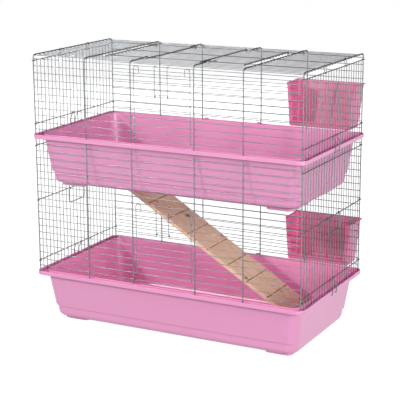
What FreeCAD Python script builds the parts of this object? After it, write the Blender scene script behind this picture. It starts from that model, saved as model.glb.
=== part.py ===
import FreeCAD, Part
import math
import os
import Sketcher

# Two-storey rabbit cage: moulded trays, welded wire panels, doors, latches, clips, hay racks and a ramp.
# Millimetres, +Z up, X along the cage, front at -Y, origin on the floor under the middle of the whole.

doc = FreeCAD.newDocument("rabbit_cage")
sheet = doc.addObject("Spreadsheet::Sheet", "Sizes")

sizes = {
    # trays
    "rim_length": 990,
    "rim_width": 522,
    "rim_corner": 25,
    "lip_height": 13,
    "lip_wall": 3,
    "channel_width": 19,
    "channel_depth": 9,
    "nib_length": 16,
    "nib_height": 4,
    "nib_aside": 12,
    "tray_height": 178.5,
    "tray_wall": 3,
    "wall_corner": 36,
    "upper_lean": 16,
    "step_height": 49,
    "step_width": 4,
    "lower_lean": 4,
    "base_round": 21,
    "foot_height": 9,
    "foot_length": 95,
    "foot_width": 150,
    "foot_corner": 18,
    # wire sizes and gaps
    "frame_wire": 4,
    "rail_wire": 3.2,
    "grid_wire": 2.4,
    "weld_gap": 0.02,
    "hook_gap": 0.05,
    "running_gap": 0.1,
    "free_gap": 0.3,
    # wire panels
    "wire_inset": 12,
    "lower_cage_height": 470.5,
    "upper_cage_height": 275,
    "first_wire": 26.5,
    "upper_rows": 11,
    "lower_rows": 19,
    "top_wire_drop": 21,
    "carrier_drop": 3,
    "top_bend": 12.5,
    "header_drop": 1,
    "inner_upright": 114,
    "outer_upright": 285,
    "end_bars": 22,
    "rail_drop": 6.5,
    "roof_rows": 21,
    "roof_edge": 14,
    # doors and latches
    "door_side": 101,
    "door_cane": 19,
    "door_reach": 108,
    "latch_width": 46,
    "latch_rows": 4,
    "latch_bend": 4,
    "latch_tip": 2.5,
    "top_door_side": 250,
    "top_door_middle": 96,
    "top_latch_width": 22,
    # clips and handles
    "clip_clearance": 1.1,
    "clip_under": 1.5,
    "clip_bend": 3,
    "clip_jog_bend": 8,
    "clip_tuck": 1,
    "handle_drop": 53,
    "handle_corner": 9,
    # hay racks
    "rack_end_gap": 164,
    "rack_top_length": 238,
    "rack_base_length": 220,
    "rack_top_depth": 98,
    "rack_base_depth": 72,
    "rack_corner": 6,
    "rack_height": 146,
    "rack_wall": 2.5,
    "rack_flange": 5,
    "rack_front_lip": 18,
    "rack_front_edge": 14,
    "rack_above_wire": 16,
    "rack_hook_drop": 5,
    # ramp
    "ramp_width": 160,
    "ramp_thickness": 12,
    "ramp_centre": 80,
    "ramp_foot": 424,
    "ramp_head": 352,
    "ramp_head_drop": 12,
    "groove_width": 4,
    "groove_depth": 3,
    "grooves": 9,
    "hole_left": 366,
    "hole_length": 248,
    "hole_margin": 8,
    "hole_corner": 12,
    "collar_height": 12,
    "collar_wall": 3,
    "ramp_hook_spread": 100,
    "ramp_hook_peg": 30,
    "ramp_hook_bend": 5,
}
for line, (alias, number) in enumerate(sizes.items(), start=1):
    sheet.set(f"A{line}", alias)
    sheet.set(f"B{line}", str(number))
    sheet.setAlias(f"B{line}", alias)
doc.recompute()

vector = FreeCAD.Vector
across = vector(1, 0, 0)
back = vector(0, 1, 0)
up = vector(0, 0, 1)
nodes = []


def size(name):
    return float(sheet.get(name))


def value(expression):
    return float(sheet.evalExpression(expression))


def node(label, thing):
    thing.Label = label
    nodes.append(thing)
    return thing


# Places shared by several pieces, measured from the middle of the trays

wall_inset = "(Sizes.lip_wall + Sizes.channel_width)"
floor_top = "(Sizes.foot_height + Sizes.tray_wall)"
lower_base = "(Sizes.tray_height - Sizes.channel_depth)"
flange_under = f"({lower_base} - Sizes.tray_wall)"
tier = f"({lower_base} + Sizes.lower_cage_height - {flange_under})"
upper_base = f"({tier} + {lower_base})"
roof_z = f"({upper_base} + Sizes.upper_cage_height)"
post_x = "(Sizes.rim_length / 2 - Sizes.wire_inset)"
post_y = "(Sizes.rim_width / 2 - Sizes.wire_inset)"
row_weld = "((Sizes.frame_wire + Sizes.grid_wire) / 2 + Sizes.weld_gap)"
row_y = f"({post_y} - {row_weld})"
row_end = f"({post_x} + Sizes.frame_wire / 2)"
upper_pitch = ("((Sizes.upper_cage_height - Sizes.top_bend - Sizes.header_drop - Sizes.first_wire)"
               " / (Sizes.upper_rows - 1))")
lower_pitch = ("((Sizes.lower_cage_height - Sizes.top_wire_drop - Sizes.first_wire)"
               " / (Sizes.lower_rows - 1))")
bar_pitch = f"(2 * {post_y} / (Sizes.end_bars + 1))"
roof_pitch = f"(2 * ({post_y} - Sizes.roof_edge) / (Sizes.roof_rows - 1))"
roof_row_z = f"({roof_z} - {row_weld})"
rail_hook = "((Sizes.frame_wire + Sizes.rail_wire) / 2 + Sizes.hook_gap)"
rail_x = f"({post_x} + {rail_hook})"
bar_x = f"({rail_x} - (Sizes.rail_wire + Sizes.grid_wire) / 2 - Sizes.weld_gap)"
rack_front = f"({post_y} + Sizes.frame_wire / 2 + Sizes.free_gap)"
# the racks stand out behind, so the trays stand forward of the origin by half of that
trays_y = f"((Sizes.rim_width / 2 - {rack_front} - Sizes.rack_top_depth - Sizes.rack_flange) / 2)"

# Rows are counted from 0, the lowest wire above the tray's rim
upper_hinge = 0
lower_hinge = 1
door_span = int(size("upper_rows")) - 1
upper_last = int(size("upper_rows")) - 1
lower_last = int(size("lower_rows")) - 1
lower_middle = 10
low_rail = 1
rack_row = 5
roof_half = int(size("roof_rows")) // 2
roof_hinge = roof_half - 3
top_latch_rows = 2


def upper_row(number):
    return f"({upper_base} + Sizes.first_wire + {number} * {upper_pitch})"


def lower_row(number):
    return f"({lower_base} + Sizes.first_wire + {number} * {lower_pitch})"


# Sketches and features of moulded pieces

def origin_item(body, role):
    return next(item for item in body.Origin.OriginFeatures if item.Role == role)


def sketch_on(body, name, role, place=("0", "0", "0")):
    sketch = body.newObject("Sketcher::SketchObject", name)
    sketch.AttachmentSupport = [(origin_item(body, role), "")]
    sketch.MapMode = "FlatFace"
    for axis, expression in zip("xyz", place):
        sketch.setExpression(f"AttachmentOffset.Base.{axis}", expression)
    return sketch


def constrain(sketch, kind, *references, drive=None):
    if drive is None:
        sketch.addConstraint(Sketcher.Constraint(kind, *references))
    else:
        index = sketch.addConstraint(Sketcher.Constraint(kind, *references, value(drive)))
        sketch.setExpression(f"Constraints[{index}]", drive)


def circle_on(sketch, diameter):
    circle = sketch.addGeometry(Part.Circle(vector(), up, value(diameter) / 2))
    constrain(sketch, "Coincident", circle, 3, -1, 1)
    constrain(sketch, "Diameter", circle, drive=diameter)


def round_rectangle(sketch, length, width, radius):
    """A rectangle with round corners about the middle of the sketch."""
    r = value(radius)
    a = value(length) / 2 - r
    b = value(width) / 2 - r
    ends = [
        (vector(-a, -b - r), vector(a, -b - r)),
        (vector(a + r, -b), vector(a + r, b)),
        (vector(a, b + r), vector(-a, b + r)),
        (vector(-a - r, b), vector(-a - r, -b)),
    ]
    centres = [vector(a, -b), vector(a, b), vector(-a, b), vector(-a, -b)]
    sides = []
    corners = []
    for number, ((start, end), centre) in enumerate(zip(ends, centres)):
        sides.append(sketch.addGeometry(Part.LineSegment(start, end)))
        first = math.radians(270 + 90 * number)
        circle = Part.Circle(centre, up, r)
        corners.append(sketch.addGeometry(Part.ArcOfCircle(circle, first, first + math.pi / 2)))
    for number in range(4):
        constrain(sketch, "Tangent", sides[number], 2, corners[number], 1)
        constrain(sketch, "Tangent", corners[number], 2, sides[(number + 1) % 4], 1)
    for number in (0, 2):
        constrain(sketch, "Horizontal", sides[number])
        constrain(sketch, "Vertical", sides[number + 1])
    for number in (1, 2, 3):
        constrain(sketch, "Equal", corners[0], corners[number])
    constrain(sketch, "Symmetric", sides[0], 1, sides[2], 1, -1, 1)
    constrain(sketch, "DistanceX", sides[3], 1, sides[1], 1, drive=length)
    constrain(sketch, "DistanceY", sides[0], 1, sides[2], 1, drive=width)
    constrain(sketch, "Radius", corners[0], drive=radius)


def polygon(sketch, points):
    """A closed outline whose corners are pairs of expressions."""
    places = [vector(value(x), value(y), 0) for x, y in points]
    count = len(places)
    lines = [sketch.addGeometry(Part.LineSegment(places[n], places[(n + 1) % count])) for n in range(count)]
    for n in range(count):
        constrain(sketch, "Coincident", lines[n], 2, lines[(n + 1) % count], 1)
    for side, (x, y) in zip(lines, points):
        constrain(sketch, "DistanceX", -1, 1, side, 1, drive=x)
        constrain(sketch, "DistanceY", -1, 1, side, 1, drive=y)


def loft(body, kind, name, sections):
    feature = body.newObject(f"PartDesign::{kind}Loft", name)
    feature.Profile = sections[0]
    feature.Sections = sections[1:]
    feature.Ruled = True
    doc.recompute()


def extrude(body, kind, name, sketch, length, reverse=False, both=False):
    feature = body.newObject(f"PartDesign::{kind}", name)
    feature.Profile = sketch
    feature.setExpression("Length", length)
    feature.Reversed = reverse
    feature.Midplane = both
    doc.recompute()
    return feature


def repeat(body, name, feature, role, pitch, count):
    pattern = body.newObject("PartDesign::LinearPattern", name)
    pattern.Originals = [feature]
    pattern.Direction = (origin_item(body, role), [""])
    pattern.Mode = "Spacing"
    pattern.setExpression("Offset", pitch)
    pattern.setExpression("Occurrences", count)
    body.Tip = pattern
    doc.recompute()


def place_at(thing, x="0", y="0", z="0"):
    for axis, expression in zip("xyz", (x, y, z)):
        thing.setExpression(f"Placement.Base.{axis}", expression)


# Trays: a leaning wall with a step, a round foot, a rim with a channel for the wire, corner feet

def inset_rectangle(sketch, inset, radius):
    round_rectangle(sketch, f"Sizes.rim_length - 2 * ({inset})", f"Sizes.rim_width - 2 * ({inset})", radius)
    return sketch


def tray_outline(body, name, height, inset, radius):
    return inset_rectangle(sketch_on(body, name, "XY_Plane", ("0", "0", height)), inset, radius)


def tray_ring(body, name, height, outer, outer_radius, inner, inner_radius):
    return inset_rectangle(tray_outline(body, name, height, outer, outer_radius), inner, inner_radius)


def tray(label):
    body = doc.addObject("PartDesign::Body", label)
    corner = "Sizes.wall_corner"
    shoulder = f"{wall_inset} + Sizes.upper_lean"
    step = f"{shoulder} + Sizes.step_width"
    foot_bend = f"{step} + Sizes.lower_lean"
    floor_edge = f"{foot_bend} + Sizes.base_round"
    wall = "Sizes.tray_wall"
    bend_steps = 4

    def base_sections(name, thickness):
        bend = f"(Sizes.base_round - {thickness})"
        sections = []
        for number in range(bend_steps + 1):
            angle = f"{90 * number / bend_steps} deg"
            height = f"Sizes.foot_height + {thickness} + {bend} * (1 - cos({angle}))"
            inset = f"{floor_edge} - {bend} * sin({angle})"
            sections.append(tray_outline(body, f"{name}_{number}", height, inset, corner))
        top = f"Sizes.step_height + {thickness}"
        sections.append(tray_outline(body, f"{name}_step", top, f"{step} + {thickness}", corner))
        return sections

    def wall_sections(name, thickness, top):
        low = f"Sizes.step_height + {thickness}"
        return [
            tray_outline(body, f"{name}_low", low, f"{shoulder} + {thickness}", corner),
            tray_outline(body, f"{name}_top", top, f"{wall_inset} + {thickness}", corner),
        ]

    loft(body, "Additive", "base", base_sections("base", "0"))
    loft(body, "Additive", "wall", wall_sections("wall", "0", flange_under))
    lip_low = "Sizes.tray_height - Sizes.lip_height"
    rim = tray_outline(body, "rim_outline", lip_low, "0", "Sizes.rim_corner")
    extrude(body, "Pad", "rim", rim, "Sizes.lip_height")
    loft(body, "Subtractive", "wall_hollow", wall_sections("wall_inside", wall, "Sizes.tray_height"))
    loft(body, "Subtractive", "base_hollow", base_sections("base_inside", wall))
    lip = "Sizes.lip_wall"
    lip_radius = f"Sizes.rim_corner - {lip}"
    channel = tray_ring(body, "channel_outline", "Sizes.tray_height", lip, lip_radius, wall_inset, corner)
    extrude(body, "Pocket", "channel", channel, "Sizes.channel_depth")
    under = tray_ring(body, "under_outline", lip_low, lip, lip_radius, wall_inset, corner)
    extrude(body, "Pocket", "under_rim", under, f"{flange_under} - ({lip_low})", reverse=True)
    for number, (side, end) in enumerate(((-1, -1), (1, -1), (1, 1), (-1, 1))):
        x = f"{side} * (Sizes.rim_length / 2 - ({floor_edge}) - Sizes.foot_length / 2)"
        y = f"{end} * (Sizes.rim_width / 2 - ({floor_edge}) - Sizes.foot_width / 2)"
        foot = sketch_on(body, f"foot_outline_{number}", "XY_Plane", (x, y, "Sizes.foot_height"))
        round_rectangle(foot, "Sizes.foot_length", "Sizes.foot_width", "Sizes.foot_corner")
        extrude(body, "Pad", f"foot_{number}", foot, "Sizes.foot_height", reverse=True)
        # a nib on the lip beside each upright of the door's opening
        nib_x = f"{side} * (Sizes.inner_upright - Sizes.nib_aside)"
        nib_y = f"{end} * (Sizes.rim_width - {lip}) / 2"
        nib = sketch_on(body, f"nib_outline_{number}", "XY_Plane", (nib_x, nib_y, "Sizes.tray_height"))
        round_rectangle(nib, "Sizes.nib_length", lip, f"{lip} / 3")
        extrude(body, "Pad", f"nib_{number}", nib, "Sizes.nib_height")
    return node(label, body)


lower_tray = tray("lower_tray")
upper_tray = tray("upper_tray")
place_at(lower_tray, y=trays_y)
place_at(upper_tray, y=trays_y, z=tier)

# The upper floor has a hole with a low collar, for the ramp
hole_place = ("Sizes.hole_length / 2 - Sizes.hole_left", "Sizes.ramp_centre")
hole_width = "(Sizes.ramp_width + 2 * Sizes.hole_margin)"
collar = sketch_on(upper_tray, "collar_outline", "XY_Plane", (*hole_place, floor_top))
round_rectangle(collar, "Sizes.hole_length + 2 * Sizes.collar_wall", f"{hole_width} + 2 * Sizes.collar_wall",
                "Sizes.hole_corner + Sizes.collar_wall")
extrude(upper_tray, "Pad", "collar", collar, "Sizes.collar_height")
hole = sketch_on(upper_tray, "hole_outline", "XY_Plane", (*hole_place, f"{floor_top} + Sizes.collar_height"))
round_rectangle(hole, "Sizes.hole_length", hole_width, "Sizes.hole_corner")
extrude(upper_tray, "Pocket", "hole", hole, f"{floor_top} + Sizes.collar_height")


# Straight wires in rows, and wires bent as on a bending machine

planes = {"X": "YZ_Plane", "Y": "XZ_Plane", "Z": "XY_Plane"}


def wires(name, direction, diameter, length, place, along=None, pitch=None, count=None):
    """A wire centred on a place, or a row of them along another axis."""
    body = doc.addObject("PartDesign::Body", name)
    body.AllowCompound = True
    section = sketch_on(body, f"{name}_section", planes[direction])
    circle_on(section, diameter)
    rod = extrude(body, "Pad", f"{name}_rod", section, length, both=True)
    if along is not None:
        repeat(body, f"{name}_row", rod, f"{along}_Axis", pitch, count)
    place_at(body, *place)
    return body


def spread(name, direction, diameter, length, middle, places, axis):
    """The same wire at several places along one axis."""
    group = []
    for number, expression in enumerate(places):
        place = list(middle)
        place["XYZ".index(axis)] = expression
        group.append(wires(f"{name}_{number}", direction, diameter, length, place))
    return group


class Bender:
    """Wire fed straight and bent about an axis, from a start place and heading."""

    def __init__(self, place, heading):
        self.place = vector(place)
        self.heading = vector(heading).normalize()
        self.section = (vector(self.place), vector(self.heading))
        self.edges = []

    def feed(self, length):
        end = self.place + self.heading * length
        self.edges.append(Part.LineSegment(self.place, end).toShape())
        self.place = end
        return self

    def bend(self, radius, degrees, axis):
        middle = self.place + axis.cross(self.heading) * radius
        arm = self.place - middle
        half = middle + FreeCAD.Rotation(axis, degrees / 2).multVec(arm)
        end = middle + FreeCAD.Rotation(axis, degrees).multVec(arm)
        self.edges.append(Part.Arc(self.place, half, end).toShape())
        self.heading = FreeCAD.Rotation(axis, degrees).multVec(self.heading)
        self.place = end
        return self

    def make(self, name, diameter):
        circle = Part.Circle(self.section[0], self.section[1], diameter / 2).toShape()
        feature = doc.addObject("Part::Feature", name)
        feature.Shape = Part.Wire(self.edges).makePipeShell([Part.Wire([circle])], True, False)
        return feature


eye_turn = 250


def curl(centre, arm, axis):
    """A wire that has just gone round an eye and leaves it at the end of the arm."""
    start = FreeCAD.Rotation(axis, -eye_turn).multVec(arm)
    return Bender(centre + start, axis.cross(start)).bend(arm.Length, eye_turn, axis)


def panel(label, parts):
    group = doc.addObject("Part::Compound", label)
    group.Links = parts
    place_at(group, y=trays_y)
    return node(label, group)


def bent_piece(label, bender, diameter):
    piece = bender.make(label, diameter)
    place_at(piece, y=trays_y)
    return node(label, piece)


def mirrored(label, source):
    copy = doc.addObject("Part::Mirroring", label)
    copy.Source = source
    copy.Base = vector()
    copy.Normal = across
    return node(label, copy)


frame_wire = size("frame_wire")
rail_wire = size("rail_wire")
grid_wire = size("grid_wire")
running_gap = size("running_gap")
free_gap = size("free_gap")
upright_places = (f"-{post_x}", "-Sizes.outer_upright", "-Sizes.inner_upright",
                  "Sizes.inner_upright", "Sizes.outer_upright", post_x)
full_row = f"2 * {row_end}"

# Long panels of the lower cage: uprights outside, rows inside, a stout row that carries the upper tray


def long_rows(label, side, row, last, pitch, hinge=None):
    """Rows of a long panel; beside a door they stop at its uprights."""
    y = f"{side} * {row_y}"
    wire = "Sizes.grid_wire"
    first = ("0", y, row(0))
    if hinge is None:
        return [wires(f"{label}_rows", "X", wire, full_row, first, "Z", pitch, f"{last + 1}")]
    header = hinge + door_span
    rows = [wires(f"{label}_rows_low", "X", wire, full_row, first, "Z", pitch, f"{hinge + 1}"),
            wires(f"{label}_rows_high", "X", wire, full_row, ("0", y, row(header)), "Z", pitch,
                  f"{last - header + 1}")]
    inner = "(Sizes.inner_upright - Sizes.frame_wire / 2)"
    for name, sign in (("left", "-1"), ("right", "1")):
        middle = f"{sign} * ({row_end} + {inner}) / 2"
        rows.append(wires(f"{label}_rows_{name}", "X", wire, f"{row_end} - {inner}",
                          (middle, y, row(hinge + 1)), "Z", pitch, f"{door_span - 1}"))
    return rows


def lower_long_panel(label, side, hinge=None):
    height = "Sizes.lower_cage_height"
    middle = ("0", f"{side} * {post_y}", f"{lower_base} + {height} / 2")
    posts = spread(f"{label}_upright", "Z", "Sizes.frame_wire", height, middle, upright_places, "X")
    carrier_y = f"{side} * ({post_y} - Sizes.frame_wire - Sizes.weld_gap)"
    carrier_z = f"{lower_base} + {height} - Sizes.carrier_drop"
    carrier = wires(f"{label}_carrier", "X", "Sizes.frame_wire", full_row, ("0", carrier_y, carrier_z))
    rows = long_rows(label, side, lower_row, lower_last, lower_pitch, hinge)
    return panel(label, posts + rows + [carrier])


lower_long_panel("lower_front_panel", -1, lower_hinge)
lower_long_panel("lower_back_panel", 1)

# Long panels of the upper cage: the uprights bend over and meet the roof's cross wires


def upper_long_panel(label, side, hinge=None):
    posts = []
    top_bend = size("top_bend")
    for number, x in enumerate(upright_places):
        bender = Bender(vector(value(x), side * value(post_y), value(upper_base)), up)
        bender.feed(size("upper_cage_height") - top_bend).bend(top_bend, 90, across * side)
        posts.append(bender.make(f"{label}_upright_{number}", frame_wire))
    return panel(label, posts + long_rows(label, side, upper_row, upper_last, upper_pitch, hinge))


upper_long_panel("upper_front_panel", -1, upper_hinge)
upper_long_panel("upper_back_panel", 1)

# End panels: close bars on rails whose ends curl round the corner uprights


def rail_height(row, number):
    return f"({row(number)} - Sizes.rail_drop)"


def curled_rail(name, height):
    hook = value(rail_hook)
    bender = Bender(vector(value(post_x), hook - value(post_y), value(height)), -across)
    bender.bend(hook, 270, up).feed(2 * value(post_y)).bend(hook, 270, up)
    return bender.make(name, rail_wire)


def end_panel(label, base, top, row, rail_rows):
    first_bar = (bar_x, f"{bar_pitch} - {post_y}", f"({top} + {base}) / 2")
    bars = wires(f"{label}_bars", "Z", "Sizes.grid_wire", f"{top} - {base}", first_bar,
                 "Y", bar_pitch, "Sizes.end_bars")
    rails = [curled_rail(f"{label}_rail_{number}", rail_height(row, number)) for number in rail_rows]
    return panel(label, [bars] + rails)


lower_top = f"({lower_base} + Sizes.lower_cage_height)"
lower_right_panel = end_panel("lower_right_panel", lower_base, lower_top, lower_row,
                              (low_rail, lower_middle, lower_last))
mirrored("lower_left_panel", lower_right_panel)
upper_rail_top = f"({rail_height(upper_row, upper_last)} + Sizes.rail_wire / 2)"
upper_right_panel = end_panel("upper_right_panel", upper_base, upper_rail_top, upper_row,
                              (low_rail, upper_last))
mirrored("upper_left_panel", upper_right_panel)

# Roof: cross wires that carry on from the uprights, rows under them, an opening for the top door
roof_reach = f"({post_y} - Sizes.top_bend)"
door_edge = f"({roof_hinge} * {roof_pitch} - Sizes.frame_wire / 2)"
roof = []
stout = "Sizes.frame_wire"
for number, x in enumerate(upright_places):
    if x.endswith("inner_upright"):
        for name, sign in (("front", "-1"), ("back", "1")):
            middle = (x, f"{sign} * ({roof_reach} + {door_edge}) / 2", roof_z)
            roof.append(wires(f"roof_cross_{number}_{name}", "Y", stout,
                              f"{roof_reach} - {door_edge}", middle))
    else:
        roof.append(wires(f"roof_cross_{number}", "Y", stout, f"2 * {roof_reach}", (x, "0", roof_z)))
edge_rows = f"{roof_half - roof_hinge + 1}"
for name, first in (("front", -roof_half), ("back", roof_hinge)):
    roof.append(wires(f"roof_rows_{name}", "X", "Sizes.grid_wire", full_row,
                      ("0", f"{first} * {roof_pitch}", roof_row_z), "Y", roof_pitch, edge_rows))
roof_inner = "(Sizes.outer_upright - Sizes.frame_wire / 2)"
for name, sign in (("left", "-1"), ("right", "1")):
    first = (f"{sign} * ({row_end} + {roof_inner}) / 2", f"{1 - roof_hinge} * {roof_pitch}", roof_row_z)
    roof.append(wires(f"roof_rows_{name}", "X", "Sizes.grid_wire", f"{row_end} - {roof_inner}", first,
                      "Y", roof_pitch, f"{2 * roof_hinge - 1}"))
panel("roof_panel", roof)

# Closed links that tie the roof to the end panels and to the back panel


def link(name, first, second, radius, axis):
    """A link round two wires, lying in the plane across the axis."""
    line = second - first
    heading = vector(line).normalize()
    start = first + heading.cross(axis) * radius
    bender = Bender(start, heading)
    bender.feed(line.Length).bend(radius, 180, axis).feed(line.Length).bend(radius, 180, axis)
    return bender.make(name, grid_wire)


end_links = []
link_bars = 4
for side in (-1, 1):
    for end in (-1, 1):
        y = end * link_bars * value(bar_pitch)
        rail_place = vector(side * value(rail_x), y, value(rail_height(upper_row, upper_last)))
        roof_place = vector(side * value(post_x), y, value(roof_z))
        link_radius = (frame_wire + grid_wire) / 2 + running_gap
        end_links.append(link(f"end_link_{side + 1}_{end + 1}", rail_place, roof_place, link_radius, back))
panel("end_links", end_links)

back_links = []
link_aside = 3 * frame_wire
for number, x in enumerate(upright_places[1:-1]):
    place_x = value(x) - math.copysign(link_aside, value(x))
    row_place = vector(place_x, value(row_y), value(upper_row(upper_last)))
    roof_place = vector(place_x, roof_half * value(roof_pitch), value(roof_row_z))
    back_links.append(link(f"back_link_{number}", row_place, roof_place, grid_wire + running_gap, across))
panel("back_links", back_links)

# Top door: hinged on a roof row by eyes, its front ends lying on the row across the opening
door_eye = (frame_wire + grid_wire) / 2 + free_gap
hinge_y = roof_hinge * value(roof_pitch)
hinge_z = value(roof_row_z)
top_door = []
for number, x in enumerate((-size("top_door_side"), -size("top_door_middle"), size("top_door_middle"),
                            size("top_door_side"))):
    bender = Bender(vector(x, -hinge_y - door_eye, hinge_z + door_eye), back)
    bender.feed(2 * hinge_y + door_eye).bend(door_eye, eye_turn, -across)
    top_door.append(bender.make(f"top_door_cross_{number}", frame_wire))
top_door_row_z = f"({roof_row_z} + Sizes.free_gap - Sizes.weld_gap)"
top_door.append(wires("top_door_rows", "X", "Sizes.grid_wire", "2 * Sizes.top_door_side + Sizes.frame_wire",
                      ("0", f"{1 - roof_hinge} * {roof_pitch}", top_door_row_z), "Y", roof_pitch,
                      f"{2 * roof_hinge - 1}"))
panel("top_door", top_door)

latch_eye = grid_wire + free_gap
latch_bend = size("latch_bend")


def top_latch(label, x):
    """A loop held under a door row, its two tips turned down over the edge of the opening."""
    half = size("top_latch_width") / 2
    pivot_y = -(roof_hinge - top_latch_rows) * value(roof_pitch)
    leg_z = value(top_door_row_z) + latch_eye
    tip_bend = grid_wire + 2 * free_gap
    tip_drop = grid_wire / 2
    reach = pivot_y + hinge_y
    under = grid_wire
    bar = 2 * half - 2 * latch_bend
    bender = Bender(vector(x - half, -hinge_y - tip_bend, leg_z - tip_bend - tip_drop), up)
    bender.feed(tip_drop).bend(tip_bend, 90, -across).feed(reach).bend(latch_eye, 180, -across)
    bender.feed(under).bend(latch_bend, 90, up).feed(bar).bend(latch_bend, 90, up).feed(under)
    bender.bend(latch_eye, 180, across).feed(reach).bend(tip_bend, 90, across).feed(tip_drop)
    return bent_piece(label, bender, grid_wire)


top_latch("top_door_latch_left", -size("inner_upright"))
top_latch("top_door_latch_right", size("inner_upright"))

# Front doors: eyes round a row at the foot, arched tops against the row above, opening down and out
door_row_y = f"(-{row_y} - 2 * Sizes.grid_wire - Sizes.free_gap - Sizes.weld_gap)"


def front_door(label, row, pitch, hinge):
    low = value(row(hinge))
    high = value(row(hinge + door_span))
    arch = size("door_cane") / 2
    tail = value(pitch) + grid_wire / 2 - arch
    parts = []
    for side in (-1, 1):
        centre = vector(side * size("door_side"), -value(row_y), low)
        bender = curl(centre, -back * latch_eye, -across)
        bender.feed(high - low - arch).bend(arch, 180, -back * side).feed(tail)
        parts.append(bender.make(f"{label}_side_{side + 1}", grid_wire))
    parts.append(wires(f"{label}_rows", "X", "Sizes.grid_wire", "2 * Sizes.door_reach",
                       ("0", door_row_y, row(hinge + 1)), "Z", pitch, f"{door_span - 1}"))
    return panel(label, parts)


def door_latch(label, row, hinge):
    """A loop held behind a door row, its two tips bent in over the row above the door."""
    half = size("latch_width") / 2
    high = value(row(hinge + door_span))
    pivot = value(row(hinge + door_span - int(size("latch_rows"))))
    leg_y = value(door_row_y) - latch_eye
    tip_z = high + latch_eye
    tip_y = -value(row_y) + size("latch_tip")
    tip = tip_y - leg_y - latch_bend
    leg = tip_z - latch_bend - pivot
    rise = grid_wire
    bar = 2 * half - 2 * latch_bend
    bender = Bender(vector(-half, tip_y, tip_z), -back)
    bender.feed(tip).bend(latch_bend, 90, across).feed(leg).bend(latch_eye, 180, across)
    bender.feed(rise).bend(latch_bend, 90, back).feed(bar).bend(latch_bend, 90, back).feed(rise)
    bender.bend(latch_eye, 180, -across).feed(leg).bend(latch_bend, 90, -across).feed(tip)
    return bent_piece(label, bender, grid_wire)


front_door("upper_front_door", upper_row, upper_pitch, upper_hinge)
door_latch("upper_door_latch", upper_row, upper_hinge)
front_door("lower_front_door", lower_row, lower_pitch, lower_hinge)
door_latch("lower_door_latch", lower_row, lower_hinge)

# Clips that swing on the low rails and hold under the trays' rims


clip_half_bars = 0.75
handle_half_bars = 2.25


def tray_clip(label, side, row, rim_base):
    eye = (rail_wire + grid_wire) / 2 + running_gap
    half = clip_half_bars * value(bar_pitch)
    rail_z = value(rail_height(row, low_rail))
    lip_low = value(f"{rim_base} + Sizes.tray_height - Sizes.lip_height")
    leg_x = size("rim_length") / 2 + size("clip_clearance") + grid_wire / 2
    bar_z = lip_low - size("clip_under") - grid_wire / 2
    bend = size("clip_bend")
    jog = 30
    jog_radius = size("clip_jog_bend")
    jog_sine = math.sin(math.radians(jog))
    jog_cosine = math.cos(math.radians(jog))
    shift = leg_x - value(rail_x) - eye
    slant = (shift - 2 * jog_radius * (1 - jog_cosine)) / jog_sine
    head = 2 * grid_wire
    leg = rail_z - bar_z - bend - head - 2 * jog_radius * jog_sine - slant * jog_cosine
    tuck = size("clip_tuck")
    bar = 2 * half - 2 * bend
    turn = -back * side
    bender = curl(vector(side * value(rail_x), -half, rail_z), across * side * eye, back * side)
    bender.feed(head).bend(jog_radius, jog, turn).feed(slant).bend(jog_radius, jog, -turn).feed(leg)
    bender.bend(bend, 90, back * side).feed(tuck).bend(bend, 90, -up * side).feed(bar)
    bender.bend(bend, 90, -up * side).feed(tuck).bend(bend, 90, turn).feed(leg)
    bender.bend(jog_radius, jog, turn).feed(slant).bend(jog_radius, jog, -turn).feed(head)
    bender.bend(eye, eye_turn, turn)
    return bent_piece(label, bender, grid_wire)


tray_clip("lower_left_clip", -1, lower_row, "0")
tray_clip("lower_right_clip", 1, lower_row, "0")
tray_clip("upper_left_clip", -1, upper_row, tier)
tray_clip("upper_right_clip", 1, upper_row, tier)

# Carry handles that hang on the middle rails of the lower ends


def carry_handle(label, side):
    eye = rail_wire + running_gap
    half = handle_half_bars * value(bar_pitch)
    corner = size("handle_corner")
    leg = size("handle_drop") - corner
    bender = curl(vector(side * value(rail_x), -half, value(rail_height(lower_row, lower_middle))),
                  across * side * eye, back * side)
    bender.feed(leg).bend(corner, 90, across).feed(2 * half - 2 * corner).bend(corner, 90, across).feed(leg)
    bender.bend(eye, eye_turn, -back * side)
    return bent_piece(label, bender, rail_wire)


carry_handle("left_carry_handle", -1)
carry_handle("right_carry_handle", 1)

# Hay racks outside the back panel: tapered bins, open at the top and towards the cage, on two hooks

def rack_outline(body, name, height, half, near, far, cut):
    sketch = sketch_on(body, name, "XY_Plane", ("0", "0", height))
    polygon(sketch, ((f"-{half}", near), (half, near), (half, f"{far} - {cut}"), (f"{half} - {cut}", far),
                     (f"{cut} - {half}", far), (f"-{half}", f"{far} - {cut}")))
    return sketch


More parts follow.
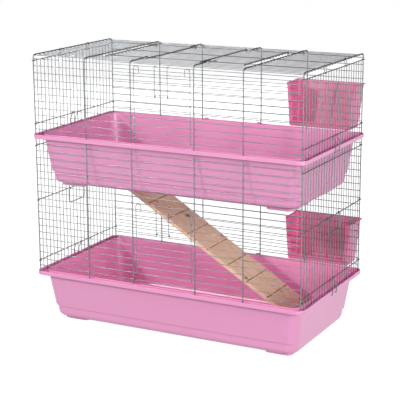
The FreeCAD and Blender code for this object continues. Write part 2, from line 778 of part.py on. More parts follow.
def hay_rack(label, row):
    body = doc.addObject("PartDesign::Body", label)
    wall = "Sizes.rack_wall"
    tall = "Sizes.rack_height"
    base_half = "(Sizes.rack_base_length / 2)"
    top_half = "(Sizes.rack_top_length / 2)"
    base_far = "Sizes.rack_base_depth"
    top_far = "Sizes.rack_top_depth"
    cut = "Sizes.rack_corner"
    # a corner cut keeps its angle where the outline is set in or out
    cut_change = "(2 - sqrt(2))"
    inner_cut = f"({cut} - {wall} * {cut_change})"
    outer_cut = f"({cut} + Sizes.rack_flange * {cut_change})"
    loft(body, "Additive", "bin", [rack_outline(body, "bin_base", "0", base_half, "0", base_far, cut),
                                   rack_outline(body, "bin_top", tall, top_half, "0", top_far, cut)])
    flange_half = f"({top_half} + Sizes.rack_flange)"
    flange_far = f"({top_far} + Sizes.rack_flange)"
    flange = rack_outline(body, "flange_outline", f"{tall} - {wall}", flange_half, "0", flange_far, outer_cut)
    extrude(body, "Pad", "flange", flange, wall)
    hollow = []
    for name, height, half, far in (("base", wall, base_half, base_far), ("top", tall, top_half, top_far)):
        hollow.append(rack_outline(body, f"hollow_{name}", height, f"({half} - {wall})", wall,
                                   f"({far} - {wall})", inner_cut))
    loft(body, "Subtractive", "bin_hollow", hollow)
    mouth = sketch_on(body, "mouth_outline", "XZ_Plane")
    low = "(Sizes.rack_base_length / 2 - Sizes.rack_front_edge)"
    high = "(Sizes.rack_top_length / 2 - Sizes.rack_front_edge)"
    sill = "Sizes.rack_front_lip"
    polygon(mouth, ((f"-{low}", sill), (low, sill), (high, tall), (f"-{high}", tall)))
    extrude(body, "Pocket", "mouth", mouth, f"2 * {wall}", both=True)
    wire_z = f"({tall} - Sizes.rack_above_wire)"
    hook_low = f"({wire_z} + Sizes.grid_wire / 2 + Sizes.free_gap)"
    hook_top = f"({hook_low} + {wall})"
    hook_in = f"({rack_front} - {row_y} + Sizes.grid_wire / 2 + Sizes.free_gap)"
    hook_out = f"({hook_in} + {wall})"
    tip_low = f"({wire_z} - Sizes.rack_hook_drop)"
    flare = "(Sizes.rack_top_length - Sizes.rack_base_length)"
    bin_half = f"(Sizes.rack_base_length + {flare} * {wire_z} / {tall}) / 2"
    # the hooks stand on the front edge, between the mouth and the corner
    hook_width = f"(Sizes.rack_front_edge - 2 * {wall})"
    for name, sign in (("left", "-1"), ("right", "1")):
        x = f"{sign} * ({bin_half} - Sizes.rack_front_edge / 2)"
        hook = sketch_on(body, f"hook_outline_{name}", "YZ_Plane", ("0", "0", x))
        polygon(hook, ((wall, hook_low), (wall, hook_top), (f"-{hook_out}", hook_top),
                       (f"-{hook_out}", tip_low), (f"-{hook_in}", tip_low), (f"-{hook_in}", hook_low)))
        extrude(body, "Pad", f"hook_{name}", hook, hook_width, both=True)
    rack_x = "Sizes.rim_length / 2 - Sizes.rack_end_gap"
    place_at(body, rack_x, f"{rack_front} + {trays_y}", f"{row(rack_row)} - {wire_z}")
    return node(label, body)


hay_rack("upper_hay_rack", upper_row)
hay_rack("lower_hay_rack", lower_row)

# Ramp: a grooved board whose foot is cut level, hung on two hooks over the collar of the upper floor

foot_z = f"({floor_top} + Sizes.free_gap)"
head_z = f"({tier} + {floor_top} - Sizes.ramp_head_drop)"
board_lift = "Sizes.ramp_thickness"
head_x = "(-1 * Sizes.ramp_head)"
# the level cut at the foot runs back from the tip by the thickness over the sine of the slope
slope_guess = f"atan(({head_z} - {foot_z}) / (Sizes.ramp_foot + Sizes.ramp_head))"
foot_cut = f"({board_lift} / sin({slope_guess}))"
heel_x = f"(Sizes.ramp_foot - {foot_cut})"
slope = f"atan(({head_z} - {foot_z}) / ({heel_x} - {head_x}))"
board_length = f"(({heel_x} - {head_x}) / cos({slope}))"

ramp_board = doc.addObject("PartDesign::Body", "ramp_board")
side_view = sketch_on(ramp_board, "board_outline", "XZ_Plane")
toe = f"{board_length} + {board_lift} / tan({slope})"
polygon(side_view, (("0", "0"), (board_length, "0"), (toe, board_lift), ("0", board_lift)))
extrude(ramp_board, "Pad", "board", side_view, "Sizes.ramp_width", both=True)
groove_pitch = f"({board_length} / (Sizes.grooves + 1))"
groove_view = sketch_on(ramp_board, "groove_outline", "XZ_Plane")
groove_half = "Sizes.groove_width / 2"
polygon(groove_view, ((f"{groove_pitch} - {groove_half}", board_lift),
                      (groove_pitch, f"{board_lift} - Sizes.groove_depth"),
                      (f"{groove_pitch} + {groove_half}", board_lift)))
groove = extrude(ramp_board, "Pocket", "groove", groove_view, "2 * Sizes.ramp_width", both=True)
repeat(ramp_board, "groove_row", groove, "X_Axis", groove_pitch, "Sizes.grooves")
peg_fit = "(Sizes.rail_wire + 2 * Sizes.hook_gap)"
for name, sign in (("front", "-1"), ("back", "1")):
    bore_place = (f"{sign} * Sizes.ramp_hook_spread / 2", f"{board_lift} / 2", "0")
    bore = sketch_on(ramp_board, f"bore_{name}", "YZ_Plane", bore_place)
    circle_on(bore, peg_fit)
    extrude(ramp_board, "Pocket", f"hook_bore_{name}", bore, "Sizes.ramp_hook_peg", reverse=True)
slope_degrees = math.degrees(math.atan((value(head_z) - value(foot_z)) / (value(heel_x) - value(head_x))))
ramp_board.Placement = FreeCAD.Placement(vector(), FreeCAD.Rotation(back, slope_degrees))
place_at(ramp_board, head_x, f"Sizes.ramp_centre + {trays_y}", head_z)
node("ramp_board", ramp_board)

hooks = []
tilt = FreeCAD.Rotation(back, slope_degrees)
uphill = tilt.multVec(-across)
hook_bend = size("ramp_hook_bend")
over_radius = size("collar_wall") / 2 + free_gap + rail_wire / 2
hook_top = value(f"{tier} + {floor_top} + Sizes.collar_height") - free_gap
for number, sign in enumerate((-1, 1)):
    y = size("ramp_centre") + sign * size("ramp_hook_spread") / 2
    face = vector(value(head_x), y, value(head_z)) + tilt.multVec(up) * (size("ramp_thickness") / 2)
    lean = math.radians(slope_degrees)
    stand_x = -size("hole_left") - size("collar_wall") / 2 + over_radius
    out = (face.x + hook_bend * math.sin(lean) - hook_bend - stand_x) / math.cos(lean)
    peg = size("ramp_hook_peg") - 2 * size("hook_gap")
    bender = Bender(face - uphill * peg, uphill)
    bender.feed(peg + out).bend(hook_bend, 90 - slope_degrees, back)
    bender.feed(hook_top - bender.place.z).bend(over_radius, 180, -back).feed(size("collar_height") / 2)
    hooks.append(bender.make(f"ramp_hook_{number}", rail_wire))
panel("ramp_hooks", hooks)

# Check and write every piece

doc.recompute()
for item in doc.Objects:
    if "Invalid" in item.State or "Error" in item.State:
        raise RuntimeError(f"{item.Name} did not build")
os.makedirs("parts", exist_ok=True)
for item in nodes:
    if item.Shape.isNull() or not item.Shape.isValid():
        raise RuntimeError(f"{item.Label} has a bad shape")
    item.Shape.exportStep(f"parts/{item.Label}.step")
    box = item.Shape.BoundBox
    print(item.Label, len(item.Shape.Solids), "solids", round(item.Shape.Volume / 1000, 1), "cm3",
          [round(edge, 1) for edge in (box.XMin, box.YMin, box.ZMin, box.XMax, box.YMax, box.ZMax)])
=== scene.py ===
import math
import bmesh
import bpy
from mathutils import Matrix, Vector


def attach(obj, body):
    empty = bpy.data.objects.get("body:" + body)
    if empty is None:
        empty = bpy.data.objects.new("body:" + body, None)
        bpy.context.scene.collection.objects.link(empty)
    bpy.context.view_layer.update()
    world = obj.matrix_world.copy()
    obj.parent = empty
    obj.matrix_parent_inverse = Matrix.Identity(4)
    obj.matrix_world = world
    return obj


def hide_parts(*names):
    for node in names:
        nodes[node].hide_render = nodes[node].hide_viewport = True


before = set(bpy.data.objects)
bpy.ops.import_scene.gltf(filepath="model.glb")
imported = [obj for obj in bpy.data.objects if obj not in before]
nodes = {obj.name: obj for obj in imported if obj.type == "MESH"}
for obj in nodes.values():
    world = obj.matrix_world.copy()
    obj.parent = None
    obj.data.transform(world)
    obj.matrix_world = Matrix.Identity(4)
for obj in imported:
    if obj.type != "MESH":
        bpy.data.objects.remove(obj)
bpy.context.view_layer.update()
mm = 0.001
print("frame loaded:", len(nodes), "nodes")

# where the trays, tiers and wires stand in the frame, in mm; y is counted from the trays' middle
cage = {"traysY": -46.65, "tier": 473.5, "lowerBase": 169.5, "postY": 249,
        "uprights": (-483, -285, -114, 114, 285, 483), "firstRow": 26.5, "pitch": 23.5}


# small helpers

def linear(hexColour):
    values = [int(hexColour[place:place + 2], 16) / 255 for place in (1, 3, 5)]
    return [v / 12.92 if v <= 0.04045 else ((v + 0.055) / 1.055) ** 2.4 for v in values] + [1]


def addNode(tree, kind, settings=None, links=None):
    made = tree.nodes.new(kind)
    for key, value in (settings or {}).items():
        if isinstance(key, int) or key in made.inputs:
            made.inputs[key].default_value = value
        else:
            setattr(made, key, value)
    for key, source in (links or {}).items():
        tree.links.new(source, made.inputs[key])
    return made


def newMaterial(name):
    material = bpy.data.materials.new(name)
    material.use_nodes = True
    tree = material.node_tree
    return material, tree, tree.nodes["Principled BSDF"]


def addPiece(name, points, faces, material, body, smoothAngle=40):
    mesh = bpy.data.meshes.new(name)
    mesh.from_pydata([[c * mm for c in p] for p in points], [], faces)
    mesh.materials.append(material)
    work = bmesh.new()
    work.from_mesh(mesh)
    bmesh.ops.remove_doubles(work, verts=work.verts, dist=0.01 * mm)
    bmesh.ops.recalc_face_normals(work, faces=work.faces)
    work.to_mesh(mesh)
    work.free()
    mesh.shade_smooth()
    mesh.set_sharp_from_angle(angle=math.radians(smoothAngle))
    piece = bpy.data.objects.new(name, mesh)
    bpy.context.scene.collection.objects.link(piece)
    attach(piece, body)
    return piece


def roundEdges(piece, name, width, segments, angle):
    bevel = piece.modifiers.new(name, "BEVEL")
    bevel.width = width * mm
    bevel.segments = segments
    bevel.limit_method = "ANGLE"
    bevel.angle_limit = math.radians(angle)


def soften(piece, width, segments=2, angle=40):
    roundEdges(piece, "softEdges", width, segments, angle)
    piece.modifiers.new("closedSeams", "WELD").merge_threshold = 0.01 * mm
    piece.modifiers.new("flatSides", "WEIGHTED_NORMAL").keep_sharp = True


# materials

# injection moulded polypropylene: evenly dyed, waxy half gloss, a faint flow mottle and a fine mould grain
# (a real mould grain is a few tenths of a mm: grainMm is coarser, so that it shows)
trayLook = {"dye": "#F99ED2", "flow": "#F6A4D2", "flowMm": 90, "grainMm": 1.6, "gloss": (0.27, 0.34)}
rackLook = {"dye": "#F67DB4", "flow": "#F284B6", "flowMm": 60, "grainMm": 1.4, "gloss": (0.36, 0.44)}


def mouldedPolypropylene(name, look):
    material, tree, shader = newMaterial(name)
    place = addNode(tree, "ShaderNodeTexCoord").outputs["Object"]
    flow = addNode(tree, "ShaderNodeTexNoise",
                   {"Scale": 1000 / look["flowMm"], "Detail": 3, "Roughness": 0.55}, {"Vector": place})
    grain = addNode(tree, "ShaderNodeTexNoise", {"Scale": 1000 / look["grainMm"], "Detail": 2}, {"Vector": place})
    dye = addNode(tree, "ShaderNodeMix",
                  {"data_type": "RGBA", 6: linear(look["dye"]), 7: linear(look["flow"])}, {0: flow.outputs["Fac"]})
    tree.links.new(dye.outputs[2], shader.inputs["Base Color"])
    sheen = addNode(tree, "ShaderNodeMapRange", {"To Min": look["gloss"][0], "To Max": look["gloss"][1]},
                    {"Value": flow.outputs["Fac"]})
    tree.links.new(sheen.outputs["Result"], shader.inputs["Roughness"])
    bump = addNode(tree, "ShaderNodeBump", {"Strength": 0.025, "Distance": 0.2 * mm},
                   {"Height": grain.outputs["Fac"]})
    tree.links.new(bump.outputs["Normal"], shader.inputs["Normal"])
    shader.inputs["IOR"].default_value = 1.49  # polypropylene
    shader.inputs["Specular IOR Level"].default_value = 1  # a polished mould
    return material


trayPink = mouldedPolypropylene("moulded pink polypropylene", trayLook)
rackPink = mouldedPolypropylene("moulded deep pink polypropylene", rackLook)

# drawn steel wire, bright zinc plate: cool grey, cloudy in places, soft long highlights
# (the marks of drawing are hair thin: lineMm is coarser, so that they show)
zincLook = {"bright": "#8D9093", "cloudy": "#686C70", "cloudMm": 14, "lineMm": 0.9, "gloss": (0.26, 0.38)}
# the plate is burnt duller where the wires are welded
weldLook = dict(zincLook, bright="#7E8082", cloudy="#5B5E61", gloss=(0.45, 0.6))


def zincPlate(name, look):
    material, tree, shader = newMaterial(name)
    place = addNode(tree, "ShaderNodeTexCoord").outputs["Object"]
    cloud = addNode(tree, "ShaderNodeTexNoise",
                    {"Scale": 1000 / look["cloudMm"], "Detail": 4, "Roughness": 0.6}, {"Vector": place})
    line = addNode(tree, "ShaderNodeTexNoise", {"Scale": 1000 / look["lineMm"], "Detail": 1}, {"Vector": place})
    tone = addNode(tree, "ShaderNodeMix",
                   {"data_type": "RGBA", 6: linear(look["bright"]), 7: linear(look["cloudy"])},
                   {0: cloud.outputs["Fac"]})
    tree.links.new(tone.outputs[2], shader.inputs["Base Color"])
    sheen = addNode(tree, "ShaderNodeMapRange",
                    {"From Min": 0.3, "From Max": 0.7, "To Min": look["gloss"][0], "To Max": look["gloss"][1]},
                    {"Value": cloud.outputs["Fac"]})
    tree.links.new(sheen.outputs["Result"], shader.inputs["Roughness"])
    bump = addNode(tree, "ShaderNodeBump", {"Strength": 0.05, "Distance": 0.1 * mm},
                   {"Height": line.outputs["Fac"]})
    tree.links.new(bump.outputs["Normal"], shader.inputs["Normal"])
    shader.inputs["Metallic"].default_value = 1
    return material


zincWire = zincPlate("zinc plated steel wire", zincLook)
weldSpot = zincPlate("spot welded zinc", weldLook)

# planed bare pine, plain sawn: long rings that swing along the board, brown knots, and the V cuts' sides darkened
# as painted shade in the grooves
# (the fibres are finer than fibreMm, which is coarser, so that they show)
board = {"headX": -352, "headZ": 473.5, "middleY": 80, "slope": 31.5, "length": 882.6, "thick": 12, "width": 160,
         "grooves": 9, "grooveWidth": 4, "grooveDepth": 3, "edge": 0.7,
         # the last colour and the factor after it darken the V cuts' sides: painted shade in the grooves, not the
         # wood's own colour
         "pale": "#FFEBCC", "ring": "#F4CFA0", "knot": "#5E3A20", "grooveShadeTone": "#8A6A4C", "grooveShadeStrength": 0.75,
         "ringMm": 9, "fibreMm": 1.6, "swingMm": 200, "swingBy": 50, "heart": (0, -30, 30),
         # how far swings, rings and fibres are drawn out along the board and across it
         "swingDrawn": (1, 2.5, 2.5), "ringDrawn": (0.05, 1, 1), "fibreDrawn": (0.03, 1, 1),
         # place along the board, place across it, radius
         "knots": ((293, 31, 9), (426, 70, 7), (610, -60, 7), (720, 20, 3), (190, -30, 4)), "knotWobble": 8}


def pine(name, look, shade):
    material, tree, shader = newMaterial(name)
    place = addNode(tree, "ShaderNodeTexCoord")
    head = (look["headX"] * mm, (look["middleY"] + cage["traysY"]) * mm, look["headZ"] * mm)
    moved = addNode(tree, "ShaderNodeVectorMath", {"operation": "SUBTRACT", 1: head}, {0: place.outputs["Object"]})
    along = addNode(tree, "ShaderNodeVectorRotate",
                    {"rotation_type": "Y_AXIS", "Angle": -math.radians(look["slope"])},
                    {"Vector": moved.outputs[0]}).outputs[0]

    # growth rings round a heart beside the board
    slow = addNode(tree, "ShaderNodeVectorMath", {"operation": "MULTIPLY", 1: look["swingDrawn"]}, {0: along})
    swing = addNode(tree, "ShaderNodeTexNoise", {"Scale": 1000 / look["swingMm"], "Detail": 2},
                    {"Vector": slow.outputs[0]})
    shift = addNode(tree, "ShaderNodeVectorMath", {"operation": "SCALE", "Scale": look["swingBy"] * mm},
                    {0: swing.outputs["Color"]})
    heart = addNode(tree, "ShaderNodeVectorMath", {"operation": "ADD", 1: [c * mm for c in look["heart"]]},
                    {0: along})
    bent = addNode(tree, "ShaderNodeVectorMath", {"operation": "ADD"}, {0: heart.outputs[0], 1: shift.outputs[0]})
    drawn = addNode(tree, "ShaderNodeVectorMath", {"operation": "MULTIPLY", 1: look["ringDrawn"]},
                    {0: bent.outputs[0]})
    rings = addNode(tree, "ShaderNodeTexWave",
                    {"wave_type": "RINGS", "rings_direction": "X", "wave_profile": "SAW",
                     "Scale": 2 * math.pi / (20 * look["ringMm"] * mm), "Distortion": 1.2, "Detail": 2,
                     "Detail Scale": 1.5}, {"Vector": drawn.outputs[0]})
    ringTone = addNode(tree, "ShaderNodeMapRange", {"From Min": 0.2, "From Max": 1, "To Min": 0, "To Max": 0.75},
                       {"Value": rings.outputs["Fac"]})
    colour = addNode(tree, "ShaderNodeMix",
                     {"data_type": "RGBA", 6: linear(look["pale"]), 7: linear(look["ring"])},
                     {0: ringTone.outputs["Result"]}).outputs[2]

    # fibres along the board
    thin = addNode(tree, "ShaderNodeVectorMath", {"operation": "MULTIPLY", 1: look["fibreDrawn"]}, {0: along})
    fibre = addNode(tree, "ShaderNodeTexNoise", {"Scale": 1000 / look["fibreMm"], "Detail": 3},
                    {"Vector": thin.outputs[0]})
    fibreTone = addNode(tree, "ShaderNodeMapRange",
                        {"From Min": 0.45, "From Max": 0.75, "To Min": 0, "To Max": 0.35},
                        {"Value": fibre.outputs["Fac"]})
    colour = addNode(tree, "ShaderNodeMix", {"data_type": "RGBA", 7: linear(look["ring"])},
                     {0: fibreTone.outputs["Result"], 6: colour}).outputs[2]

    # knots in the upper face
    wobble = (look["knotWobble"] * mm, look["knotWobble"] * mm, 0)
    wobbled = addNode(tree, "ShaderNodeVectorMath", {"operation": "MULTIPLY_ADD", 1: wobble},
                      {0: swing.outputs["Color"], 2: along})
    for distance, aside, radius in look["knots"]:
        middle = (distance * mm, aside * mm, look["thick"] * mm)
        gap = addNode(tree, "ShaderNodeVectorMath", {"operation": "DISTANCE", 1: middle}, {0: wobbled.outputs[0]})
        dark = addNode(tree, "ShaderNodeMapRange",
                       {"From Min": radius * 0.5 * mm, "From Max": radius * 1.6 * mm, "To Min": 0.85, "To Max": 0},
                       {"Value": gap.outputs["Value"]})
        colour = addNode(tree, "ShaderNodeMix", {"data_type": "RGBA", 7: linear(look["knot"])},
                         {0: dark.outputs["Result"], 6: colour}).outputs[2]

    # painted shade: the colour is multiplied darker by this factor on the cuts' sides, and left as it is on the
    # planed faces (factor 0)
    toned = addNode(tree, "ShaderNodeMix",
                    {"data_type": "RGBA", "blend_type": "MULTIPLY", 0: shade, 7: linear(look["grooveShadeTone"])}, {6: colour})
    tree.links.new(toned.outputs[2], shader.inputs["Base Color"])
    bump = addNode(tree, "ShaderNodeBump", {"Strength": 0.25, "Distance": 0.4 * mm},
                   {"Height": fibre.outputs["Fac"]})
    tree.links.new(bump.outputs["Normal"], shader.inputs["Normal"])
    rough = addNode(tree, "ShaderNodeMapRange", {"To Min": 0.55, "To Max": 0.75}, {"Value": fibre.outputs["Fac"]})
    tree.links.new(rough.outputs["Result"], shader.inputs["Roughness"])
    return material


planedPine = pine("planed pine", board, 0)
# the V cuts' sides: the same pine with painted shade multiplied in
grooveShadedPine = pine("pine with painted groove shade", board, board["grooveShadeStrength"])
print("materials made")

# trays: one outline swept round a profile, edges eased as a mould leaves them
tray = {"length": 990, "width": 522, "cornerSteps": 9, "edgeSteps": 4, "smallCornerSteps": 6, "smallEdgeSteps": 3,
        "floors": (9, 12),  # under side and upper side
        # inset from the rim, height, corner radius in plan, easing of that edge
        "profile": ((67, 9, 36, 0), (46, 9, 36, 20), (42, 49, 36, 1.6), (38, 49, 36, 2.4), (22, 166.5, 36, 3),
                    (3, 166.5, 22, 0.5), (3, 165.5, 22, 0.4), (0, 165.5, 25, 1.1), (0, 178.5, 25, 1.4),
                    (3, 178.5, 22, 1.3), (3, 169.5, 22, 1.5), (22, 169.5, 36, 1.5), (22, 178.5, 36, 1.3),
                    (25, 178.5, 36, 1.4), (41, 52, 36, 2.4), (45, 52, 36, 1.6), (49, 12, 36, 17), (67, 12, 36, 0))}
# feet, nibs on the rim and the ramp hole's collar: each profile is inset, height, slant of the easing, easing
foot = {"long": 95, "wide": 150, "corner": 18, "inset": 67,
        "profile": ((-1, 9.5, 0, 0), (0, 8, 0, 1), (0, 0, 0, 2), (4, 0, 0, 0))}
nib = {"long": 16, "wide": 3, "corner": 1.2, "x": 102, "y": 259.5,
       "profile": ((0, 177.5, 0, 0), (0, 182.5, 0, 0.9), (1, 182.5, 0, 0))}
collar = {"long": 248, "wide": 176, "corner": 12, "x": -242, "y": 80,
          "profile": ((-4.5, 12, 1.5, 0), (-3, 12, 0, 1.4), (-3, 24, 0, 1.4), (0, 24, 0, 1.4), (0, 9, 0, 1),
                      (-1.2, 9, 0, 0))}


def outline(halfX, halfY, radius, steps, middle):
    ring = []
    for signX, signY, start in ((1, -1, -90), (1, 1, 0), (-1, 1, 90), (-1, -1, 180)):
        for step in range(steps + 1):
            angle = math.radians(start + 90 * step / steps)
            ring.append((middle[0] + signX * (halfX - radius) + radius * math.cos(angle),
                         middle[1] + signY * (halfY - radius) + radius * math.sin(angle)))
    return ring


def eased(profile, steps):
    stations = [profile[0][:3]]
    for before, here, after in zip(profile, profile[1:], profile[2:]):
        corner = Vector(here[:3])
        starts = corner + (Vector(before[:3]) - corner).normalized() * here[3]
        ends = corner + (Vector(after[:3]) - corner).normalized() * here[3]
        count = steps * 2 if here[3] > 10 else steps  # a wide bend takes more steps
        for step in range(count + 1):
            t = step / count
            stations.append(tuple(starts * (1 - t) ** 2 + corner * (2 * t * (1 - t)) + ends * t * t))
    stations.append(profile[-1][:3])
    return stations


def smallRings(shape, x, y, lift):
    return [[(px, py, height + lift) for px, py in
             outline(shape["long"] / 2 - inset, shape["wide"] / 2 - inset, shape["corner"] - inset,
                     tray["smallCornerSteps"], (x, y + cage["traysY"]))]
            for inset, height, slant in eased(shape["profile"], tray["smallEdgeSteps"])]


def sweep(rings, points, faces, capped):
    first, count = len(points), len(rings[0])
    points += [p for ring in rings for p in ring]
    for level in range(len(rings) - 1):
        for step in range(count):
            near = first + level * count + step
            beside = first + level * count + (step + 1) % count
            faces.append((near, beside, beside + count, near + count))
    if capped:
        faces += [tuple(range(first, first + count)), tuple(range(len(points) - count, len(points)))]


def fillFloors(piece, heights):
    work = bmesh.new()
    work.from_mesh(piece.data)
    for height in heights:
        rims = [e for e in work.edges if e.is_boundary
                and all(abs(v.co.z / mm - height) < 0.01 for v in e.verts)]
        bmesh.ops.triangle_fill(work, use_beauty=True, edges=rims)
    bmesh.ops.recalc_face_normals(work, faces=work.faces)
    for face in work.faces:
        face.smooth = True
    work.to_mesh(piece.data)
    work.free()
    piece.data.set_sharp_from_angle(angle=math.radians(40))


def buildTray(name, node, lift, holed):
    rings = []
    for inset, height, radius in eased(tray["profile"], tray["edgeSteps"]):
        flat = outline(tray["length"] / 2 - inset, tray["width"] / 2 - inset, radius, tray["cornerSteps"],
                       (0, cage["traysY"]))
        rings.append([(x, y, height + lift) for x, y in flat])
    points, faces = [], []
    sweep(rings, points, faces, not holed)
    if holed:
        sweep(smallRings(collar, collar["x"], collar["y"], lift), points, faces, False)
    footX = tray["length"] / 2 - foot["inset"] - foot["long"] / 2
    footY = tray["width"] / 2 - foot["inset"] - foot["wide"] / 2
    for signX, signY in ((-1, -1), (1, -1), (1, 1), (-1, 1)):
        sweep(smallRings(foot, signX * footX, signY * footY, lift), points, faces, True)
        sweep(smallRings(nib, signX * nib["x"], signY * nib["y"], lift), points, faces, True)
    piece = addPiece(name, points, faces, trayPink, "cage")
    if holed:
        fillFloors(piece, [height + lift for height in tray["floors"]])
    piece.modifiers.new("flatSides", "WEIGHTED_NORMAL").keep_sharp = True
    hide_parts(node)


buildTray("lowerTray", "lower_tray", 0, False)
buildTray("upperTray", "upper_tray", cage["tier"], True)
print("trays moulded")

# hay racks: a thin tapered shell, open in front and on top, with a turned rim and two hooks
rack = {"middleX": 331, "frontY": 251.3, "base": (220, 72), "top": (238, 98), "height": 146, "wall": 2.5,
        "flange": 5, "lip": 18, "edge": 14, "corner": 7, "softEdge": 0.7, "hookIn": 7.02, "hookLow": 131.5,
        "hookTip": 125, "hookWidth": 9, "hookX": 111, "hookEdge": 0.8, "lifts": {"upper": 657, "lower": 183.5}}


def buildRack(name, node, body, lift):
    def at(x, y, z):
        return (rack["middleX"] + x, rack["frontY"] + cage["traysY"] + y, z + lift)
    low, high = rack["base"][0] / 2, rack["top"][0] / 2
    deepLow, deepHigh = rack["base"][1], rack["top"][1]
    tall, lip, edge, turn, wall = (rack[key] for key in ("height", "lip", "edge", "flange", "wall"))
    lipX = low + (high - low) / tall * lip
    points = [at(-low, 0, 0), at(low, 0, 0), at(low, deepLow, 0), at(-low, deepLow, 0),
              at(-high, 0, tall), at(high, 0, tall), at(high, deepHigh, tall), at(-high, deepHigh, tall),
              at(-lipX, 0, lip), at(lipX, 0, lip), at(-lipX + edge, 0, lip), at(lipX - edge, 0, lip),
              at(-high + edge, 0, tall), at(high - edge, 0, tall),
              at(-high - turn, 0, tall), at(high + turn, 0, tall),
              at(high + turn, deepHigh + turn, tall), at(-high - turn, deepHigh + turn, tall)]
    faces = [(0, 3, 2, 1), (3, 7, 6, 2), (0, 8, 4, 7, 3), (1, 2, 6, 5, 9),  # floor, back, ends
             (0, 1, 9, 11, 10, 8), (8, 10, 12, 4), (9, 5, 13, 11),  # front lip and its two uprights
             (4, 14, 17, 7), (7, 17, 16, 6), (6, 16, 15, 5)]  # turned rim
    shell = addPiece(name, points, faces, rackPink, body)
    roundEdges(shell, "roundCorners", rack["corner"], 5, 30)
    skin = shell.modifiers.new("wall", "SOLIDIFY")
    skin.thickness = wall * mm
    skin.offset = -1
    soften(shell, rack["softEdge"], 2, 50)
    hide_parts(node)
    hookLow, hookIn, hookTip = rack["hookLow"], rack["hookIn"], rack["hookTip"]
    profile = ((wall, hookLow), (wall, hookLow + wall), (-hookIn - wall, hookLow + wall),
               (-hookIn - wall, hookTip), (-hookIn, hookTip), (-hookIn, hookLow))
    count = len(profile)
    hookPoints, hookFaces = [], []
    for side in (-1, 1):
        first = len(hookPoints)
        for across in (-rack["hookWidth"] / 2, rack["hookWidth"] / 2):
            hookPoints += [at(side * rack["hookX"] + across, y, z) for y, z in profile]
        hookFaces += [tuple(range(first, first + count)), tuple(range(first + count, first + 2 * count))]
        hookFaces += [(first + n, first + (n + 1) % count, first + count + (n + 1) % count, first + count + n)
                      for n in range(count)]
    hooks = addPiece(name + "Hooks", hookPoints, hookFaces, rackPink, body)
    soften(hooks, rack["hookEdge"], 3)


buildRack("upperHayRack", "upper_hay_rack", "rack_upper", rack["lifts"]["upper"])
buildRack("lowerHayRack", "lower_hay_rack", "rack_lower", rack["lifts"]["lower"])
print("hay racks moulded")


# ramp board: side view with V cuts, swept across the width
def buildRamp():
    slope = math.radians(board["slope"])
    pitch = board["length"] / (board["grooves"] + 1)
    half, deep, thick = board["grooveWidth"] / 2, board["grooveDepth"], board["thick"]
    side = [(0, 0), (board["length"], 0), (board["length"] + thick / math.tan(slope), thick)]
    for number in range(board["grooves"], 0, -1):
        side += [(number * pitch + half, thick), (number * pitch, thick - deep), (number * pitch - half, thick)]
    side.append((0, thick))
    count = len(side)
    points = []
    for across in (-board["width"] / 2, board["width"] / 2):
        for s, n in side:
            points.append((board["headX"] + s * math.cos(slope) + n * math.sin(slope),
                           board["middleY"] + cage["traysY"] + across,
                           board["headZ"] - s * math.sin(slope) + n * math.cos(slope)))
    faces = [tuple(range(count)), tuple(range(count, 2 * count))]
    faces += [(n, (n + 1) % count, count + (n + 1) % count, count + n) for n in range(count)]
    piece = addPiece("rampBoard", points, faces, planedPine, "ramp", 30)
    # second material: painted groove shade on the cuts' slanting sides
    piece.data.materials.append(grooveShadedPine)
    normal = Vector((math.sin(slope), 0, math.cos(slope)))
    for face in piece.data.polygons:
        if 0.3 < face.normal.dot(normal) < 0.9:  # the cuts' slanting sides
            face.material_index = 1
    soften(piece, board["edge"], 2, 25)
    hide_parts("ramp_board")


buildRamp()
print("ramp sawn")

# weld spots where the wires cross, one mesh for each body, places in mm
weld = {"radius": 1.5, "wide": 1.35, "flat": 0.75, "wallY": 247, "lowerRows": 19, "upperRows": 11, "footRail": 637,
        "endX": 485.05, "endGaps": 23, "railDrop": 6.5, "lowerRails": (1, 10, 18), "upperRails": (1, 10),
        "roofZ": 916, "roofRows": 10, "roofDoorEnds": (114, 164),  # half width and half depth of the roof's gap
        "doorX": 101, "doorY": -249.7, "upperDoorRows": (1, 10), "lowerDoorRows": (2, 11),
        "roofDoorX": (-250, -96, 96, 250), "roofDoorZ": 916.3, "roofDoorRows": 6}


def spotWelds(name, body, places):
    ball = bmesh.new()
    bmesh.ops.create_icosphere(ball, subdivisions=1, radius=1)
    shape = [v.co.copy() for v in ball.verts]
    shapeFaces = [[v.index for v in f.verts] for f in ball.faces]
    ball.free()
    points, faces = [], []
    for x, y, z, axis in places:
        first = len(points)
        size = [weld["radius"] * weld["wide"]] * 3
        size["xyz".index(axis)] = weld["radius"] * weld["flat"]
        points += [(x + c.x * size[0], y + c.y * size[1] + cage["traysY"], z + c.z * size[2]) for c in shape]
        faces += [[v + first for v in face] for face in shapeFaces]
    addPiece(name, points, faces, weldSpot, body, 80)


def rowHeights(base, count):
    return [base + cage["firstRow"] + cage["pitch"] * n for n in range(count)]


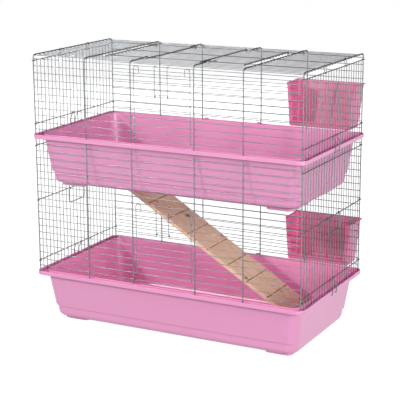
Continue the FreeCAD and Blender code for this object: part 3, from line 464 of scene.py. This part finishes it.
def buildWelds():
    lowerRows = rowHeights(cage["lowerBase"], weld["lowerRows"])
    upperRows = rowHeights(cage["tier"] + cage["lowerBase"], weld["upperRows"])
    places = []
    for side in (-1, 1):  # front and back walls
        for x in cage["uprights"]:
            places += [(x, side * weld["wallY"], z, "y") for z in lowerRows + upperRows + [weld["footRail"]]]
    rails = [lowerRows[n] for n in weld["lowerRails"]] + [upperRows[n] for n in weld["upperRails"]]
    endPitch = 2 * cage["postY"] / weld["endGaps"]
    for side in (-1, 1):  # ends
        for number in range(1, weld["endGaps"]):
            y = number * endPitch - cage["postY"]
            places += [(side * weld["endX"], y, rail - weld["railDrop"], "x") for rail in rails]
    gapX, gapY = weld["roofDoorEnds"]
    for number in range(-weld["roofRows"], weld["roofRows"] + 1):  # roof
        y = number * cage["pitch"]
        places += [(x, y, weld["roofZ"], "z") for x in cage["uprights"] if abs(x) != gapX or abs(y) > gapY]
    spotWelds("cageWelds", "cage", places)
    upperDoor, lowerDoor = slice(*weld["upperDoorRows"]), slice(*weld["lowerDoorRows"])
    for body, rows in (("upper_door", upperRows[upperDoor]), ("lower_door", lowerRows[lowerDoor])):
        spotWelds(body + "Welds", body, [(side * weld["doorX"], weld["doorY"], z, "y")
                                         for side in (-1, 1) for z in rows])
    spotWelds("roofDoorWelds", "roof_door", [(x, number * cage["pitch"], weld["roofDoorZ"], "z")
                                             for number in range(-weld["roofDoorRows"], weld["roofDoorRows"] + 1)
                                             for x in weld["roofDoorX"]])
    print("welds set:", len(places), "on the cage")


buildWelds()

# every other node is wire and takes the zinc plate
finishes = {"lower_tray": trayPink, "upper_tray": trayPink, "upper_hay_rack": rackPink, "lower_hay_rack": rackPink,
            "ramp_board": planedPine}
for name, node in nodes.items():
    node.data.materials.clear()
    node.data.materials.append(finishes.get(name, zincWire))
print("wires plated:", len(nodes) - len(finishes), "nodes")

# studio: white paper in a white room; a small key light from the left front throws the uprights' shadows, wide
# lights from the right, the front, above, the back and the left fill them, and one draws the wires' highlights
studio = {"paper": "#A0A0A0", "paperGlow": 0.94, "floorSize": 60, "room": "#FFFFFF", "roomLight": 0.13,
          "backdrop": 1, "aim": (0, 0, 0.45),
          # name, place in m, width in m, power in W
          "lights": (("keyLight", (-2.8, -4.2, 2.5), 0.3, 120), ("fillLight", (4.6, -2.2, 1.4), 2.4, 158),
                     ("frontLight", (1.5, -4.8, 0.7), 1.8, 27), ("topLight", (0.7, -1.9, 3.4), 2.2, 21),
                     ("backLight", (-2, 4.6, 1.9), 2.4, 100), ("leftLight", (-5, 0.4, 1.3), 2.4, 60),
                     ("wireLight", (-1.8, -3.9, 4), 2.2, 125)),
          "glossOnly": ("wireLight",), "dull": ("backLight", "leftLight")}


def buildFloor():
    mesh = bpy.data.meshes.new("studioFloor")
    half = studio["floorSize"] / 2
    corners = [(-half, -half, 0), (half, -half, 0), (half, half, 0), (-half, half, 0)]
    mesh.from_pydata(corners, [], [(0, 1, 2, 3)])
    floor = bpy.data.objects.new("studioFloor", mesh)
    bpy.context.scene.collection.objects.link(floor)
    material, tree, shader = newMaterial("matt white paper")
    shader.inputs["Base Color"].default_value = linear(studio["paper"])
    shader.inputs["Emission Color"].default_value = linear(studio["room"])
    shader.inputs["Emission Strength"].default_value = studio["paperGlow"]  # lit from below: pale shadows
    shader.inputs["Roughness"].default_value = 0.9
    mesh.materials.append(material)
    floor.visible_diffuse = False  # the paper's glow lights no part of the cage


def buildLights():
    for name, place, size, power in studio["lights"]:
        light = bpy.data.lights.new(name, "AREA")
        light.size = size
        light.energy = power
        lamp = bpy.data.objects.new(name, light)
        lamp.location = place
        lamp.visible_diffuse = name not in studio["glossOnly"]  # this one only draws the wires' highlights
        lamp.visible_glossy = name not in studio["dull"]  # these leave the wires dark against the paper
        lamp.rotation_mode = "QUATERNION"
        lamp.rotation_quaternion = (Vector(studio["aim"]) - Vector(place)).to_track_quat("-Z", "Y")
        bpy.context.scene.collection.objects.link(lamp)
    world = bpy.data.worlds.new("whiteRoom")
    world.use_nodes = True
    tree = world.node_tree
    room = tree.nodes["Background"]
    room.inputs["Color"].default_value = linear(studio["room"])
    ray = addNode(tree, "ShaderNodeLightPath")
    seen = addNode(tree, "ShaderNodeMapRange", {"To Min": studio["roomLight"], "To Max": studio["backdrop"]},
                   {"Value": ray.outputs["Is Camera Ray"]})  # the backdrop reads white in a dimmer room
    tree.links.new(seen.outputs["Result"], room.inputs["Strength"])
    bpy.context.scene.world = world
    bpy.context.scene.view_settings.view_transform = "Standard"


buildFloor()
buildLights()

# camera where the photograph was taken from, fitted to the rims, rows and uprights: m, degrees, mm
shot = {"place": (1.9692, -3.80625, 1.4725), "turn": -27.593, "down": 13.888, "roll": -0.283, "lens": 116.399,
        "sensor": 36, "farEnd": 100}


def buildCamera():
    turn, down, roll = (math.radians(shot[key]) for key in ("turn", "down", "roll"))
    ahead = Vector((math.sin(turn) * math.cos(down), math.cos(turn) * math.cos(down), -math.sin(down)))
    right = Vector((math.cos(turn), -math.sin(turn), 0))
    above = right.cross(ahead)
    tiltedRight = right * math.cos(roll) + above * math.sin(roll)
    tiltedUp = above * math.cos(roll) - right * math.sin(roll)
    lens = bpy.data.cameras.new("shopCamera")
    lens.lens = shot["lens"]
    lens.sensor_width = shot["sensor"]
    lens.clip_end = shot["farEnd"]
    camera = bpy.data.objects.new("shopCamera", lens)
    bpy.context.scene.collection.objects.link(camera)
    axes = Matrix((tiltedRight, tiltedUp, -ahead)).transposed()
    camera.matrix_world = Matrix.Translation(shot["place"]) @ axes.to_4x4()
    bpy.context.scene.camera = camera


buildCamera()
print("studio and camera set")
